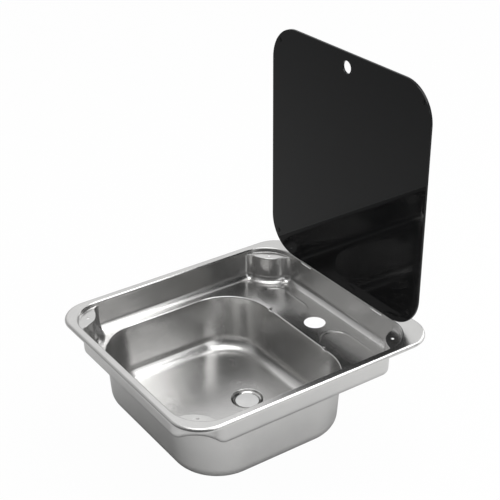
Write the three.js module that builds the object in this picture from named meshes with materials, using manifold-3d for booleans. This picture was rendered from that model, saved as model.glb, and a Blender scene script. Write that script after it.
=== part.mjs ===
// Rectangular stainless sink for a motorhome worktop, with a hinged smoked glass lid.
// Millimetres, +Z up. The origin is the centre of the cut-out, in the worktop's top plane.
// +Y points to the hinges. The lid is drawn standing open, as it is when the sink is used.
import * as THREE from 'three';
import { mergeVertices } from 'three/addons/utils/BufferGeometryUtils.js';
import Module from 'manifold-3d';

const wasm = await Module();
wasm.setup();

// ---------------------------------------------------------------- driving sizes
const sheet = 0.8;                 // steel gauge of the pressing
const clearance = 0.3;             // gap between neighbours that don't bear on each other
const faceGap = 0.1;               // gap between stacked flat faces, and round the hinge pins

// Flange
const flangeWidth = 400;           // along X
const flangeDepth = 445;           // along Y
const flangeCorner = 50;
const flangeRoll = 5;              // radius of the turned-down edge
const skirtHeight = 5.4;           // height of the turned-down edge
const sideMargin = 14.6;           // flange edge to tray wall, both sides
const frontMargin = 13.7;
const rearMargin = 31.3;           // wider, because it carries the hinges
const stripWidth = 5.5;            // foam sealing strip under the flange

// Lid recess with a shelf in each corner
const openingCorner = 55.4;
const bendRadius = 3;              // flange to wall, on the visible side
const shelfDrop = 7.5;
const shelfRadius = 47;            // measured from the square corner of the opening
const shelfLip = 1.5;              // rounding of the shelf's inner edge
const screwHole = 5;
const screwInset = 25.5;           // hole to both tray walls

// Tray
const trayDrop = 51.5;             // flange to ledge
const trayFillet = 13;
const trayCorner = 15;             // where a corner bulge runs into a wall
const trayDraft = 0.03;            // inward mm for each mm of depth

// Bowl
const bowlSide = 20.4;             // tray wall to bowl rim, both sides
const bowlFront = 24.8;
const bowlRear = 85.7;
const bowlCorner = 80;
const bowlRim = 2;                 // rounding of the bowl's rim
const bowlDrop = 145.4;            // flange to the edge of the bowl floor
const bowlFillet = 24;
const bowlDraft = 0.06;
const floorFall = 1.2;             // the floor falls this much to the drain

// Tap hole, and the soap dishes pressed beside its pad
const tapHole = 35;
const tapFromWall = 49.2;          // tap hole centre to the rear wall
const dishDrop = 2.5;
const dishSlope = 1.2;             // width of a dish's sloping edge
const dishInner = 32.5;            // centre line to a dish's rounded end at the tap pad
const dishOuter = 137.5;
const dishWidth = 53;              // along Y
const dishRear = 24.7;             // rear wall to the dish
const spoutInner = 65;             // each dish drains over the bowl's rim through a spout
const spoutOuter = 78;

// Drain recess
const drainFromRear = 183.2;       // drain centre to the rear wall
const drainRim = 25.5;             // radii of the recess at its rim and at its floor
const drainFloor = 23.2;
const drainDepth = 4.6;
const drainRimRound = 0.9;

// Lid
const glassThick = 4;
const lidSideGap = 3.2;            // glass to wall when the lid is down
const lidFrontGap = 9;
const cornerEase = 1.4;            // the glass is rounder than the opening by this much
const glassBevel = 0.6;
const glassLift = 2.5;             // lower edge above the flange when the lid stands
const glassAhead = 1.9;            // inner face ahead of the rear wall when the lid stands
const fingerHole = 21;
const fingerInset = 21.8;          // hole centre to the front edge
const bufferRadius = 4;
const bufferAside = 21.1;          // buffer centre to the side wall when the lid is down
const bufferAlong = 33.5;          // buffer centre to the front or rear wall
const bufferRest = 0.2;            // buffer to shelf when the lid is down

// Hinges
const hingeSpread = 180;           // between the two hinges
const hingeShift = 0.65;           // pin ahead of the bend's centre, and above it
const knuckleWidth = 24;
const knuckleWall = 1.1;
const pinRadius = 1.1;
const leafThick = 1.5;
const leafWidth = 40;
const leafHeight = 34;
const leafCorner = 4;
const leafRise = 3;                // the leaf widens this far above the glass's lower edge
const washerThick = 0.8;
const saddleWidth = 9;
const saddleDrop = 5;              // saddle's foot below the hinge pin
const saddleDepth = 6.6;           // saddle behind the pin
const bracketThick = 1.5;
const bracketReach = 17;           // bracket plate behind the pin
const studRadius = 2;
const studLength = 7;
const studSpread = 24;
const studFromPin = 10.5;
const nutRadius = 4;
const nutHeight = 3.2;
const springWasherThick = 0.9;

// Waste
const sealThick = 0.6;             // seal under the insert's flange
const lowerSealThick = 1.8;
const unionSealThick = 1.2;
const bevelWidth = 3.8;            // bevel of the insert round the plug
const bevelHeight = 2;
const seatDrop = 1.6;              // plug seat below the insert's flange
const threadRadius = 19.8;
const insertWall = 3.8;
const insertLength = 22;           // below the plug seat
const guideDrop = 8;               // plug seat to the guide spokes
const guideHeight = 3;
const guideHub = 4.2;
const spokeWidth = 2;
const plugThick = 1.4;
const plugEdge = 0.4;              // chamfer round the plug
const stemRadius = 2;
const stemLength = 20;
const bossGap = 1.2;               // plug's boss to the insert's throat
const bossGroove = 2;              // depth of the groove that holds the ring
const bossFoot = 1.2;              // boss below the groove
const ringThick = 1.4;             // rubber ring in the boss's groove
const ringDrop = 0.6;              // plug's underside to the ring
const nutWall = 5.7;               // back nut
const backNutHeight = 8;
const nutLugs = 6;
const lugReach = 2.4;
const lugWidth = 5;
const unionWall = 3.3;
const unionHeight = 15;
const unionBase = 2.6;             // inward lip that carries the spigot's collar
const unionRibs = 12;
const ribReach = 1;
const ribWidth = 2.4;
const collarHeight = 2.1;
const spigotRadius = 12.5;
const spigotWall = 3;
const spigotShoulder = 2;          // thicker neck where the spigot meets its collar
const spigotLength = 36;
const barbStart = 1.5;             // spigot's end to the first barb
const barbHeight = 1.1;
const barbLength = 3.6;
const barbPitch = 5;
const barbCount = 3;

// ---------------------------------------------------------------- places that follow from them
// Heights of the pressing are measured from the flange's top plane.
const wallX = flangeWidth / 2 - sideMargin;
const wallFront = -(flangeDepth / 2 - frontMargin);
const wallRear = flangeDepth / 2 - rearMargin;
const bowlX = wallX - bowlSide;
const bowlY0 = wallFront + bowlFront;
const bowlY1 = wallRear - bowlRear;
const tapY = wallRear - tapFromWall;
const drainY = wallRear - drainFromRear;
const drainTop = -(bowlDrop + floorFall);
const drainBase = drainTop - drainDepth;
const cornerSigns = [[1, -1], [1, 1], [-1, 1], [-1, -1]];
const beyond = 4;                  // how far a cut runs past what it cuts

// The hinge axis lies just ahead of and above the centre of the bend over the rear wall.
const axisY = wallRear + bendRadius - hingeShift;
const axisZ = hingeShift - bendRadius;
const hingeX = [-hingeSpread / 2, hingeSpread / 2];

// ---------------------------------------------------------------- solids and joins
const manifoldOf = (geometry) => {
  const bare = geometry.clone();
  bare.deleteAttribute('normal');
  bare.deleteAttribute('uv');
  const merged = mergeVertices(bare, 1e-4);
  return new wasm.Manifold(new wasm.Mesh({
    numProp: 3,
    vertProperties: Float32Array.from(merged.attributes.position.array),
    triVerts: Uint32Array.from(merged.index.array),
  }));
};

const geometryOf = (solid) => {
  const mesh = solid.getMesh();
  const geometry = new THREE.BufferGeometry();
  const positions = Float32Array.from(mesh.vertProperties);
  geometry.setAttribute('position', new THREE.BufferAttribute(positions, 3));
  geometry.setIndex(new THREE.BufferAttribute(Uint32Array.from(mesh.triVerts), 1));
  return geometry;
};

const joined = (...geometries) => geometries.map(manifoldOf).reduce((a, b) => a.add(b));

// A closed solid through rings of equal point count, from the lowest ring to the highest.
const loft = (rings) => {
  const count = rings[0].length;
  const positions = rings.flat(2);
  const index = [];
  for (let level = 0; level < rings.length - 1; level += 1) {
    for (let i = 0; i < count; i += 1) {
      const a = level * count + i;
      const b = level * count + (i + 1) % count;
      index.push(a, b, b + count, a, b + count, a + count);
    }
  }
  const cap = (level, up) => {
    const flat = rings[level].map(([x, y]) => new THREE.Vector2(x, y));
    for (const [i, j, k] of THREE.ShapeUtils.triangulateShape(flat, [])) {
      const base = level * count;
      index.push(...(up ? [base + i, base + j, base + k] : [base + i, base + k, base + j]));
    }
  };
  cap(0, false);
  cap(rings.length - 1, true);
  const geometry = new THREE.BufferGeometry();
  geometry.setAttribute('position', new THREE.Float32BufferAttribute(positions, 3));
  geometry.setIndex(index);
  return geometry;
};

const arc = (cx, cy, radius, from, to, steps) => Array.from({ length: steps + 1 }, (_, i) => {
  const angle = from + (to - from) * i / steps;
  return [cx + radius * Math.cos(angle), cy + radius * Math.sin(angle)];
});

const quarter = (steps) => Array.from({ length: steps + 1 }, (_, i) => i / steps * Math.PI / 2);

const raise = (outline, z) => outline.map(([x, y]) => [x, y, z]);

// A rectangle with rounded corners, anticlockwise from the right front corner.
const roundedRect = (halfX, y0, y1, radius, steps = 8) => {
  const r = Math.max(radius, 0.3);
  return [
    ...arc(halfX - r, y0 + r, r, -Math.PI / 2, 0, steps),
    ...arc(halfX - r, y1 - r, r, 0, Math.PI / 2, steps),
    ...arc(-halfX + r, y1 - r, r, Math.PI / 2, Math.PI, steps),
    ...arc(-halfX + r, y0 + r, r, Math.PI, 1.5 * Math.PI, steps),
  ];
};

const shapeOf = (outline) => new THREE.Shape(outline.map(([x, y]) => new THREE.Vector2(x, y)));

const box = (x0, x1, y0, y1, z0, z1) => {
  const geometry = new THREE.BoxGeometry(x1 - x0, y1 - y0, z1 - z0);
  geometry.translate((x0 + x1) / 2, (y0 + y1) / 2, (z0 + z1) / 2);
  return geometry;
};

const cylinder = (radius, z0, z1, x = 0, y = 0, sides = 28) => {
  const geometry = new THREE.CylinderGeometry(radius, radius, z1 - z0, sides);
  geometry.rotateX(Math.PI / 2);
  geometry.translate(x, y, (z0 + z1) / 2);
  return geometry;
};

// A cylinder on the hinge axis.
const cylinderX = (radius, x0, x1, sides = 24) => {
  const geometry = new THREE.CylinderGeometry(radius, radius, x1 - x0, sides);
  geometry.rotateZ(Math.PI / 2);
  geometry.translate((x0 + x1) / 2, 0, 0);
  return geometry;
};

// A body of revolution about Z, from a closed profile of [radius, z].
const revolved = (profile, sides = 28) => {
  const points = [...profile, profile[0]].map(([r, z]) => new THREE.Vector2(r, z));
  const geometry = new THREE.LatheGeometry(points, sides);
  geometry.rotateX(Math.PI / 2);
  return geometry;
};

const ring = (inner, outer, z0, z1) => revolved([
  [inner, z0],
  [outer, z0],
  [outer, z1],
  [inner, z1],
]);

// ---------------------------------------------------------------- the pressing
// The tray's outline: a rectangle whose corners bulge inwards round the lid shelves.
const trayOutline = (inset, bulge = inset) => {
  const reach = shelfRadius + bulge;
  const small = trayCorner - inset;
  const side = Math.sqrt((reach + small) ** 2 - (inset + small) ** 2);
  const lean = Math.asin((inset + small) / (reach + small));
  // One corner about the opening's square corner, from the front or rear wall to the side wall.
  const local = [
    ...arc(-side, inset + small, small, -Math.PI / 2, -lean, 3),
    ...arc(0, 0, reach, Math.PI - lean, Math.PI / 2 + lean, 7),
    ...arc(-inset - small, side, small, lean - Math.PI / 2, 0, 3),
  ];
  return cornerSigns.flatMap(([sx, sy]) => {
    const wallY = sy < 0 ? wallFront : wallRear;
    const placed = local.map(([x, y]) => [sx * (wallX + x), wallY - sy * y]);
    return sx * sy < 0 ? placed : placed.reverse();
  });
};

const openingOutline = (inset) => roundedRect(
  wallX - inset, wallFront + inset, wallRear - inset, openingCorner - inset, 8,
);

const bowlOutline = (inset) => roundedRect(
  bowlX - inset, bowlY0 + inset, bowlY1 - inset, bowlCorner - inset, 9,
);

const flangeOutline = (inset) => roundedRect(
  flangeWidth / 2 - inset, inset - flangeDepth / 2, flangeDepth / 2 - inset, flangeCorner - inset, 8,
);

// Each block is drawn twice: as the hollow, and grown by the sheet as the outside.
const topOf = (level, grow) => level + (grow > 0 ? -sheet / 2 : 1);

const recessBlock = (grow) => {
  const bend = bendRadius - grow;
  const rings = [raise(openingOutline(-grow), -shelfDrop - grow)];
  for (const a of quarter(3)) {
    const inset = -grow - bend * (1 - Math.cos(a));
    rings.push(raise(openingOutline(inset), -bendRadius + bend * Math.sin(a)));
  }
  rings.push(raise(openingOutline(-grow - bend), topOf(0, grow)));
  return loft(rings);
};

const trayBlock = (grow) => {
  const fillet = trayFillet + grow;
  const start = -trayDrop - grow + fillet;
  const inset = (z) => trayDraft * (-shelfDrop - z) - grow;
  const rings = quarter(4).reverse().map((a) => raise(
    trayOutline(inset(start) + fillet * (1 - Math.cos(a))), start - fillet * Math.sin(a),
  ));
  const lip = shelfLip - grow;
  for (const a of quarter(2)) {
    const z = -shelfDrop - shelfLip + lip * Math.sin(a);
    rings.push(raise(trayOutline(inset(z), inset(z) - lip * (1 - Math.cos(a))), z));
  }
  rings.push(raise(trayOutline(-grow, -grow - lip), topOf(-shelfDrop, grow)));
  return loft(rings);
};

// The soap dish right of the tap pad and its spout; side is -1 for the ones on the left.
const dishBlocks = (grow, side) => {
  const end = dishWidth / 2;
  const middle = wallRear - dishRear - end;
  const dish = (inset) => [
    ...arc(dishOuter - end, middle, end - inset, -Math.PI / 2, Math.PI / 2, 8),
    ...arc(dishInner + end, middle, end - inset, Math.PI / 2, 1.5 * Math.PI, 8),
  ];
  const spout = (inset) => [
    [spoutInner + inset, bowlY1 - beyond],
    [spoutOuter - inset, bowlY1 - beyond],
    [spoutOuter - inset, middle],
    [spoutInner + inset, middle],
  ];
  return [dish, spout].map((outline) => {
    const placed = (inset) => (
      side > 0 ? outline(inset) : outline(inset).reverse().map(([x, y]) => [-x, y])
    );
    return loft([
      raise(placed(dishSlope - grow), -trayDrop - dishDrop - grow),
      raise(placed(-grow), -trayDrop - grow + 0.02),
      raise(placed(-grow), topOf(-trayDrop, grow)),
    ]);
  });
};

const bowlBlock = (grow) => {
  const fillet = bowlFillet + grow;
  const start = -bowlDrop - grow + fillet;
  const inset = (z) => bowlDraft * (-trayDrop - z) - grow;
  const rings = quarter(5).reverse().map((a) => raise(
    bowlOutline(inset(start) + fillet * (1 - Math.cos(a))), start - fillet * Math.sin(a),
  ));
  const rim = bowlRim - grow;
  for (const a of quarter(3)) {
    const z = -trayDrop - bowlRim + rim * Math.sin(a);
    rings.push(raise(bowlOutline(inset(z) - rim * (1 - Math.cos(a))), z));
  }
  rings.push(raise(bowlOutline(-grow - rim), topOf(-trayDrop, grow)));
  return loft(rings);
};

// The floor's fall to the drain.
const fallBlock = (grow) => {
  const floorInset = bowlDraft * (bowlDrop - trayDrop) + bowlFillet - 2;
  const edge = bowlOutline(floorInset);
  const rim = edge.map(([x, y]) => {
    const angle = Math.atan2(y - drainY, x);
    return [(drainRim + 2) * Math.cos(angle), drainY + (drainRim + 2) * Math.sin(angle)];
  });
  return loft([
    raise(rim, drainTop - grow),
    raise(edge, -bowlDrop - grow),
    raise(edge, topOf(-bowlDrop, grow)),
  ]);
};

const drainBlock = (grow) => {
  const mouth = drainRim + drainRimRound / 3 + grow * 0.6;
  const top = drainTop + (grow > 0 ? 0 : 2);
  const geometry = revolved([
    [0, drainBase - grow],
    [drainFloor + grow, drainBase - grow],
    [drainRim - drainRimRound / 1.5 + grow, drainTop - drainRimRound],
    [mouth, drainTop - grow / 2],
    [mouth, top],
    [0, top],
  ], 32);
  geometry.translate(0, drainY, 0);
  return geometry;
};

const flangeBlock = (grow) => {
  const roll = flangeRoll - grow;
  const rings = [raise(flangeOutline(grow), -skirtHeight - grow)];
  for (const a of quarter(3)) {
    const inset = grow + roll * (1 - Math.cos(a));
    rings.push(raise(flangeOutline(inset), -flangeRoll + roll * Math.sin(a)));
  }
  return loft(rings);
};

// Where a hinge passes through the bend; its rear edge stops the lid.
const glassFace = wallRear - glassAhead - axisY;
const leafFront = glassFace + glassThick + clearance;
const leafBack = leafFront + leafThick;
const knuckleRadius = pinRadius + faceGap + knuckleWall;
const notchEnd = knuckleWidth / 2 + washerThick + 2 * clearance;
const notch = (x) => box(
  x - notchEnd, x + notchEnd,
  wallRear - beyond, axisY + leafBack + clearance,
  axisZ - knuckleRadius - clearance, beyond,
);

const studY = axisY + studFromPin;
const studPlaces = hingeX.flatMap((x) => [x - studSpread / 2, x + studSpread / 2]);

const pressing = () => {
  const blocks = (grow) => joined(
    recessBlock(grow), trayBlock(grow), ...dishBlocks(grow, 1), ...dishBlocks(grow, -1),
    bowlBlock(grow), fallBlock(grow), drainBlock(grow),
  );
  const flange = manifoldOf(flangeBlock(0)).subtract(manifoldOf(flangeBlock(sheet)));
  let body = flange.add(blocks(sheet)).subtract(blocks(0));
  const drainHole = threadRadius + clearance;
  const screwHoles = cornerSigns.map(([sx, sy]) => cylinder(
    screwHole / 2, -shelfDrop - beyond, -shelfDrop + beyond,
    sx * (wallX - screwInset), (sy < 0 ? wallFront : wallRear) - sy * screwInset, 16,
  ));
  const cuts = [
    cylinder(tapHole / 2, -trayDrop - beyond, -trayDrop + beyond, 0, tapY, 36),
    cylinder(drainHole, drainBase - beyond, drainBase + beyond, 0, drainY, 32),
    ...screwHoles,
    ...hingeX.map(notch),
  ];
  for (const cut of cuts) {
    body = body.subtract(manifoldOf(cut));
  }
  // Studs welded under the rear flange hold the hinge brackets.
  for (const x of studPlaces) {
    body = body.add(manifoldOf(cylinder(studRadius, -sheet - studLength, -sheet / 2, x, studY, 12)));
  }
  return geometryOf(body);
};

// A foam strip under the flange, flush with the foot of its turned-down edge.
const sealingStrip = () => {
  const shape = shapeOf(flangeOutline(flangeRoll));
  shape.holes.push(new THREE.Path(shapeOf(flangeOutline(flangeRoll + stripWidth)).getPoints().reverse()));
  const height = skirtHeight - sheet - clearance;
  const geometry = new THREE.ExtrudeGeometry(shape, { depth: height, bevelEnabled: false });
  geometry.translate(0, 0, -skirtHeight);
  return geometry;
};

// ---------------------------------------------------------------- lid, from the hinge axis
const glassFoot = glassLift - axisZ;
const glassWidth = 2 * (wallX - lidSideGap);
const glassDepth = wallRear - glassLift - wallFront - lidFrontGap;
const glassPane = () => {
  const shape = shapeOf(roundedRect(
    glassWidth / 2 - glassBevel, glassBevel, glassDepth - glassBevel,
    openingCorner + cornerEase - glassBevel, 10,
  ));
  const hole = new THREE.Path();
  hole.absarc(0, glassDepth - fingerInset, fingerHole / 2 + glassBevel, 0, 2 * Math.PI, true);
  shape.holes.push(hole);
  const geometry = new THREE.ExtrudeGeometry(shape, {
    depth: glassThick - 2 * glassBevel,
    bevelThickness: glassBevel,
    bevelSize: glassBevel,
    bevelSegments: 1,
    curveSegments: 14,
  });
  geometry.rotateX(Math.PI / 2);
  geometry.translate(0, glassFace + glassThick - glassBevel, glassFoot);
  return geometry;
};

// A clear buffer on the inner face; it meets a corner shelf when the lid is down.
const buffer = () => {
  const thick = shelfDrop + axisZ + glassFace - faceGap - bufferRest;
  const points = [
    [0, 0],
    [bufferRadius, 0],
    [bufferRadius - 0.3 * thick, 0.7 * thick],
    [bufferRadius - thick, thick],
    [0, thick],
  ];
  const geometry = new THREE.LatheGeometry(points.map(([r, z]) => new THREE.Vector2(r, z)), 18);
  geometry.rotateX(Math.PI);
  return geometry;
};

// The leaf is bonded to the outer face of the glass and rolled into a knuckle on the axis.
const leaf = () => {
  const foot = glassFoot + leafRise;
  const neck = box(-knuckleWidth / 2, knuckleWidth / 2, leafFront, leafBack, 0, foot + 1);
  const outline = roundedRect(leafWidth / 2, foot, foot + leafHeight, leafCorner, 4);
  const plate = new THREE.ExtrudeGeometry(shapeOf(outline), { depth: leafThick, bevelEnabled: false });
  plate.rotateX(Math.PI / 2);
  plate.translate(0, leafBack, 0);
  const barrel = cylinderX(knuckleRadius, -knuckleWidth / 2, knuckleWidth / 2);
  const bore = cylinderX(pinRadius + faceGap, -knuckleWidth, knuckleWidth);
  return geometryOf(joined(neck, plate, barrel).subtract(manifoldOf(bore)));
};

// ---------------------------------------------------------------- hinge, from its axis
const saddleStart = notchEnd + clearance;
const pinHalf = saddleStart + saddleWidth;
const flangeUnder = -sheet - axisZ;
const bracketTop = flangeUnder - clearance;
const bracketBase = bracketTop - bracketThick;

const pin = () => cylinderX(pinRadius, -pinHalf, pinHalf, 24);

// A friction washer at one end of the knuckle; side is 1 for the end at the right.
const hingeWasher = (side) => {
  const near = side * (knuckleWidth / 2 + clearance);
  const ends = [near, near + side * washerThick];
  const disc = cylinderX(knuckleRadius - clearance, Math.min(...ends), Math.max(...ends), 20);
  const bore = cylinderX(pinRadius + faceGap, -knuckleWidth, knuckleWidth);
  return geometryOf(manifoldOf(disc).subtract(manifoldOf(bore)));
};

// A plate under the flange with two saddles that hold the pin up in the hollow of the bend.
const bracket = () => {
  const plate = box(
    -pinHalf, pinHalf, leafBack + 3 * clearance, bracketReach, bracketBase, bracketTop,
  );
  const saddle = (x0, x1) => box(
    x0, x1, hingeShift - bendRadius + sheet + clearance, saddleDepth,
    -saddleDrop, bracketTop - bracketThick / 2,
  );
  const bendRoom = box(
    -pinHalf - beyond, pinHalf + beyond, -bendRadius, hingeShift + bendRadius - sheet, -hingeShift, beyond,
  );
  const cuts = [
    bendRoom,
    cylinderX(pinRadius + faceGap, -pinHalf - beyond, pinHalf + beyond),
    ...[-studSpread / 2, studSpread / 2].map((x) => cylinder(
      studRadius + clearance, bracketBase - beyond, bracketTop + beyond, x, studFromPin, 16,
    )),
  ];
  let body = joined(plate, saddle(-pinHalf, -saddleStart), saddle(saddleStart, pinHalf));
  for (const cut of cuts) {
    body = body.subtract(manifoldOf(cut));
  }
  return geometryOf(body);
};

// A ring on a stud of the flange: round for a washer, six-sided for a nut.
const onStud = (radius, height, sides) => {
  const outer = manifoldOf(cylinder(radius, -height, 0, 0, 0, sides));
  const hole = cylinder(studRadius + clearance, -height - beyond, beyond, 0, 0, 16);
  return geometryOf(outer.subtract(manifoldOf(hole)));
};

// ---------------------------------------------------------------- waste, from the recess floor
const insertFlange = 2 * faceGap + sealThick;
const bevelOuter = drainFloor - clearance;
const bevelInner = bevelOuter - bevelWidth;
const throatRadius = threadRadius - insertWall;
const seatZ = insertFlange - seatDrop;
const insertEnd = seatZ - insertLength;
const plugBase = seatZ + clearance;
const plugTop = plugBase + plugThick;
const guideTop = seatZ - guideDrop;

const wasteInsert = () => {
  const cup = manifoldOf(revolved([
    [throatRadius, insertEnd],
    [threadRadius - 1, insertEnd],
    [threadRadius, insertEnd + 1],
    [threadRadius, insertFlange],
    [bevelOuter, insertFlange],
    [bevelOuter, insertFlange + bevelHeight],
    [bevelInner, plugTop + clearance],
    [bevelInner, seatZ],
    [throatRadius, seatZ],
  ]));
  const spokes = [0, 1, 2].map((i) => {
    const spoke = box(
      guideHub - 1, throatRadius + 1, -spokeWidth / 2, spokeWidth / 2, guideTop - guideHeight, guideTop,
    );
    spoke.rotateZ(i * 2 * Math.PI / 3 + Math.PI / 2);
    return spoke;
  });
  const hub = cylinder(guideHub, guideTop - guideHeight, guideTop, 0, 0, 20);
  const bore = cylinder(stemRadius + clearance, guideTop - guideHeight - beyond, guideTop + beyond, 0, 0, 20);
  return geometryOf(cup.add(joined(hub, ...spokes)).subtract(manifoldOf(bore)));
};

const bossRadius = throatRadius - bossGap;
const ringTop = plugBase - ringDrop;
const grooveBase = ringTop - ringThick - faceGap;
const plug = () => {
  const plugRadius = bevelInner - clearance;
  const disc = revolved([
    [0, plugBase],
    [plugRadius, plugBase],
    [plugRadius, plugTop - plugEdge],
    [plugRadius - plugEdge, plugTop],
    [0, plugTop],
  ]);
  const boss = revolved([
    [0, grooveBase - bossFoot],
    [bossRadius, grooveBase - bossFoot],
    [bossRadius, grooveBase],
    [bossRadius - bossGroove, grooveBase],
    [bossRadius - bossGroove, plugBase + plugThick / 2],
    [0, plugBase + plugThick / 2],
  ]);
  const stem = cylinder(stemRadius, plugBase - stemLength, plugBase, 0, 0, 16);
  return geometryOf(joined(disc, boss, stem));
};

const plugRing = () => ring(
  bossRadius - bossGroove + faceGap, throatRadius - clearance, ringTop - ringThick, ringTop,
);

const lowerSealTop = -sheet - faceGap;
const nutTop = lowerSealTop - lowerSealThick - faceGap;
const nutOuter = threadRadius + nutWall;
const backNut = () => {
  let body = manifoldOf(ring(threadRadius + clearance, nutOuter, nutTop - backNutHeight, nutTop));
  for (let i = 0; i < nutLugs; i += 1) {
    const lug = box(
      nutOuter - 1, nutOuter + lugReach, -lugWidth / 2, lugWidth / 2, nutTop - backNutHeight, nutTop - 1,
    );
    lug.rotateZ(i * 2 * Math.PI / nutLugs);
    body = body.add(manifoldOf(lug));
  }
  return geometryOf(body);
};

const unionSealTop = insertEnd - faceGap;
const collarTop = unionSealTop - unionSealThick - faceGap;
const collarBase = collarTop - collarHeight;
const unionFoot = collarBase - clearance - unionBase;

const unionNut = () => {
  const outer = threadRadius + clearance + unionWall;
  const lip = spigotRadius + spigotShoulder + clearance;
  const top = unionFoot + unionHeight;
  let body = manifoldOf(revolved([
    [lip, unionFoot],
    [outer, unionFoot],
    [outer, top],
    [threadRadius + clearance, top],
    [threadRadius + clearance, unionFoot + unionBase],
    [lip, unionFoot + unionBase],
  ]));
  for (let i = 0; i < unionRibs; i += 1) {
    const rib = box(outer - 0.5, outer + ribReach, -ribWidth / 2, ribWidth / 2, unionFoot + 1, top - 1);
    rib.rotateZ(i * 2 * Math.PI / unionRibs);
    body = body.add(manifoldOf(rib));
  }
  return geometryOf(body);
};

const spigotEnd = collarTop - spigotLength;
const spigot = () => {
  const bore = spigotRadius - spigotWall;
  const barbs = [];
  for (let i = 0; i < barbCount; i += 1) {
    const z = spigotEnd + barbStart + i * barbPitch;
    const crest = z + barbLength;
    barbs.push([spigotRadius, z], [spigotRadius + barbHeight, crest], [spigotRadius, crest + 0.2]);
  }
  return revolved([
    [bore, spigotEnd],
    [spigotRadius - 0.6, spigotEnd],
    ...barbs,
    [spigotRadius, unionFoot - 1],
    [spigotRadius + spigotShoulder, unionFoot + 1],
    [spigotRadius + spigotShoulder, collarBase],
    [threadRadius, collarBase],
    [threadRadius, collarTop],
    [throatRadius, collarTop],
    [bore, collarTop - 2 * spigotWall],
  ], 24);
};

// ---------------------------------------------------------------- assembly
const steel = { color: 0xc9cac8, metalness: 1, roughness: 0.3 };
const darkGlass = { color: 0x23272a, metalness: 0, roughness: 0.05 };
const clearRubber = { color: 0xd9dcdc, metalness: 0, roughness: 0.35 };
const blackRubber = { color: 0x1c1d1e, metalness: 0, roughness: 0.8 };
const brightSteel = { color: 0xdadcdc, metalness: 1, roughness: 0.15 };
const blackPlastic = { color: 0x26282a, metalness: 0, roughness: 0.5 };
const palePlastic = { color: 0xe3e2e2, metalness: 0, roughness: 0.4 };
const foam = { color: 0x4a4c4e, metalness: 0, roughness: 0.95 };

const groupAt = (parent, x, y, z) => {
  const group = new THREE.Group();
  group.position.set(x, y, z);
  parent.add(group);
  return group;
};

const place = (parent, name, geometry, finish, x = 0, y = 0, z = 0) => {
  const mesh = new THREE.Mesh(geometry, new THREE.MeshStandardMaterial(finish));
  mesh.name = name;
  mesh.position.set(x, y, z);
  parent.add(mesh);
};

const sink = new THREE.Group();
const shell = groupAt(sink, 0, 0, skirtHeight);
place(shell, 'sink_pressing', pressing(), steel);
place(shell, 'flange_sealing_strip', sealingStrip(), foam);

const lid = groupAt(shell, 0, axisY, axisZ);
place(lid, 'glass_lid', glassPane(), darkGlass);
const bufferX = wallX - bufferAside;
const bufferRows = [['rear', wallRear - bufferAlong], ['front', wallFront + bufferAlong]];
for (const [row, y] of bufferRows) {
  for (const [side, x] of [['left', -bufferX], ['right', bufferX]]) {
    const name = `lid_buffer_${row}_${side}`;
    place(lid, name, buffer(), clearRubber, x, glassFace - faceGap, axisY - y);
  }
}

for (const [side, x] of [['left', hingeX[0]], ['right', hingeX[1]]]) {
  place(lid, `hinge_leaf_${side}`, leaf(), brightSteel, x);
  const hinge = groupAt(shell, x, axisY, axisZ);
  place(hinge, `hinge_pin_${side}`, pin(), brightSteel);
  place(hinge, `hinge_washer_${side}_a`, hingeWasher(-1), brightSteel);
  place(hinge, `hinge_washer_${side}_b`, hingeWasher(1), brightSteel);
  place(hinge, `hinge_bracket_${side}`, bracket(), brightSteel);
}

const washerZ = axisZ + bracketBase - faceGap;
const nutZ = washerZ - springWasherThick - faceGap;
studPlaces.forEach((x, i) => {
  const washer = onStud(nutRadius, springWasherThick, 18);
  place(shell, `bracket_washer_${i + 1}`, washer, brightSteel, x, studY, washerZ);
  place(shell, `bracket_nut_${i + 1}`, onStud(nutRadius, nutHeight, 6), brightSteel, x, studY, nutZ);
});

const waste = groupAt(shell, 0, drainY, drainBase);
const upperSeal = ring(threadRadius + clearance, bevelOuter - clearance, faceGap, faceGap + sealThick);
const lowerSeal = ring(threadRadius + clearance, nutOuter, lowerSealTop - lowerSealThick, lowerSealTop);
const unionSeal = ring(throatRadius, threadRadius - clearance, unionSealTop - unionSealThick, unionSealTop);
place(waste, 'waste_upper_seal', upperSeal, blackRubber);
place(waste, 'waste_insert', wasteInsert(), brightSteel);
place(waste, 'waste_lower_seal', lowerSeal, blackRubber);
place(waste, 'waste_back_nut', backNut(), blackPlastic);
place(waste, 'waste_plug', plug(), palePlastic);
place(waste, 'waste_plug_ring', plugRing(), blackRubber);
place(waste, 'waste_union_seal', unionSeal, blackRubber);
place(waste, 'waste_union_nut', unionNut(), blackPlastic);
place(waste, 'waste_hose_spigot', spigot(), blackPlastic);

export default sink;
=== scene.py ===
import math

import bmesh
import bpy
import numpy as np
from mathutils import Matrix, Vector
from mathutils.geometry import delaunay_2d_cdt


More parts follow.
